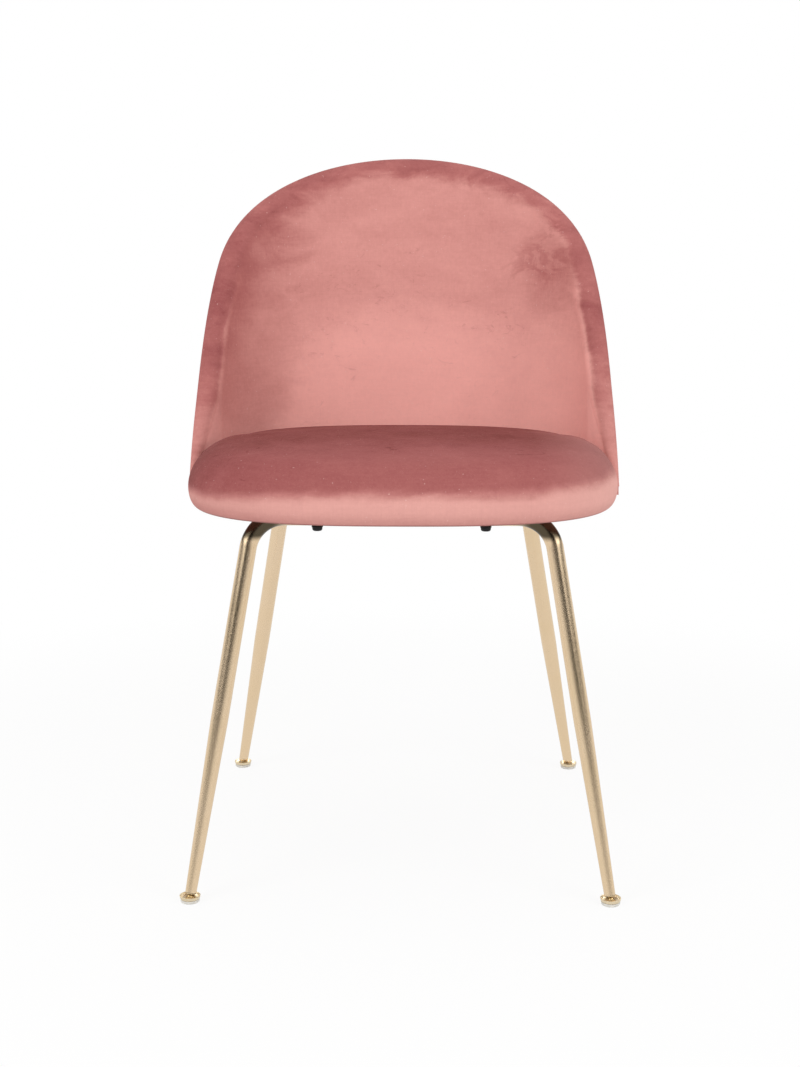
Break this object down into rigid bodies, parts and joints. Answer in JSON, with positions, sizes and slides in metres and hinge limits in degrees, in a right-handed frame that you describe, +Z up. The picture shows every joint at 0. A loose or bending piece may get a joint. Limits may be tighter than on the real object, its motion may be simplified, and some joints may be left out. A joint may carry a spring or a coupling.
{
  "type": "upholstered dining chair",
  "caption": "Velvet dining chair with an arched wrap-round back, a thick rounded seat and bent tube legs on tilting glides.",
  "frame": {"origin": "on the floor, below the middle of the bounding box", "axes": "+X to the right as seen from the front, +Y towards the back of the chair, +Z up; the front faces -Y"},
  "size_m": [0.5132, 0.5314, 0.8012],
  "materials": {
    "velvet": "short-pile velvet, dusty rose, matt with a soft nap sheen",
    "foam": "open-cell upholstery foam",
    "wadding": "polyester wadding",
    "dust_cloth": "thin non-woven cloth",
    "plywood": "sanded, unfinished",
    "champagne_metal": "satin pale champagne-gold plating on steel",
    "black_steel": "black coated",
    "zinc_steel": "zinc plated",
    "plug_plastic": "moulded, beige",
    "pad_plastic": "moulded, translucent whitish"
  },
  "bodies": {
    "seat_and_frames": {"seat_board": "plywood", "seat_foam": "foam", "seat_cover": "velvet", "seat_dust_cover": "dust_cloth", "back_shell": "plywood", "back_foam": "foam", "back_wadding": "wadding", "back_cover_front": "velvet", "back_cover_rear": "velvet", "front_leg_frame": "champagne_metal", "rear_leg_frame": "champagne_metal", "frame_rail_left": "champagne_metal", "frame_rail_right": "champagne_metal", "bolt_front_left": "black_steel", "washer_front_left": "black_steel", "tee_nut_front_left": "zinc_steel", "bolt_front_right": "black_steel", "washer_front_right": "black_steel", "tee_nut_front_right": "zinc_steel", "bolt_rear_left": "black_steel", "washer_rear_left": "black_steel", "tee_nut_rear_left": "zinc_steel", "bolt_rear_right": "black_steel", "washer_rear_right": "black_steel", "tee_nut_rear_right": "zinc_steel", "leg_plug_front_left": "plug_plastic", "leg_plug_front_right": "plug_plastic", "leg_plug_rear_left": "plug_plastic", "leg_plug_rear_right": "plug_plastic", "bracket_rear": "zinc_steel", "seat_screw_rear": "zinc_steel", "shell_screw_rear": "zinc_steel", "bracket_left": "zinc_steel", "seat_screw_left": "zinc_steel", "shell_screw_left": "zinc_steel", "bracket_right": "zinc_steel", "seat_screw_right": "zinc_steel", "shell_screw_right": "zinc_steel"},
    "stud_front_left": {"ball_stud_front_left": "zinc_steel"},
    "glide_front_left": {"glide_pad_front_left": "pad_plastic", "glide_cup_front_left": "champagne_metal"},
    "stud_front_right": {"ball_stud_front_right": "zinc_steel"},
    "glide_front_right": {"glide_pad_front_right": "pad_plastic", "glide_cup_front_right": "champagne_metal"},
    "stud_rear_left": {"ball_stud_rear_left": "zinc_steel"},
    "glide_rear_left": {"glide_pad_rear_left": "pad_plastic", "glide_cup_rear_left": "champagne_metal"},
    "stud_rear_right": {"ball_stud_rear_right": "zinc_steel"},
    "glide_rear_right": {"glide_pad_rear_right": "pad_plastic", "glide_cup_rear_right": "champagne_metal"}
  },
  "joints": [
    {"name": "swivel_front_left", "type": "hinge", "parent": "seat_and_frames", "child": "stud_front_left", "pos_m": [-0.224, -0.25448, 0.0046], "axis": [0.15, 0.2661, 0.9522], "continuous": true},
    {"name": "tilt_front_left", "type": "hinge", "parent": "stud_front_left", "child": "glide_front_left", "pos_m": [-0.224, -0.25448, 0.0046], "axis": [-0.8712, 0.491, 0], "range_deg": [-2.2, 37.8]},
    {"name": "swivel_front_right", "type": "hinge", "parent": "seat_and_frames", "child": "stud_front_right", "pos_m": [0.224, -0.25448, 0.0046], "axis": [-0.15, 0.2661, 0.9522], "continuous": true},
    {"name": "tilt_front_right", "type": "hinge", "parent": "stud_front_right", "child": "glide_front_right", "pos_m": [0.224, -0.25448, 0.0046], "axis": [-0.8712, -0.491, 0], "range_deg": [-2.2, 37.8]},
    {"name": "swivel_rear_left", "type": "hinge", "parent": "seat_and_frames", "child": "stud_rear_left", "pos_m": [-0.219, 0.20256, 0.0046], "axis": [0.1723, -0.2402, 0.9553], "continuous": true},
    {"name": "tilt_rear_left", "type": "hinge", "parent": "stud_rear_left", "child": "glide_rear_left", "pos_m": [-0.219, 0.20256, 0.0046], "axis": [0.8126, 0.5828, 0], "range_deg": [-2.8, 37.2]},
    {"name": "swivel_rear_right", "type": "hinge", "parent": "seat_and_frames", "child": "stud_rear_right", "pos_m": [0.219, 0.20256, 0.0046], "axis": [-0.1723, -0.2402, 0.9553], "continuous": true},
    {"name": "tilt_rear_right", "type": "hinge", "parent": "stud_rear_right", "child": "glide_rear_right", "pos_m": [0.219, 0.20256, 0.0046], "axis": [0.8126, -0.5828, 0], "range_deg": [-2.8, 37.2]}
  ]
}
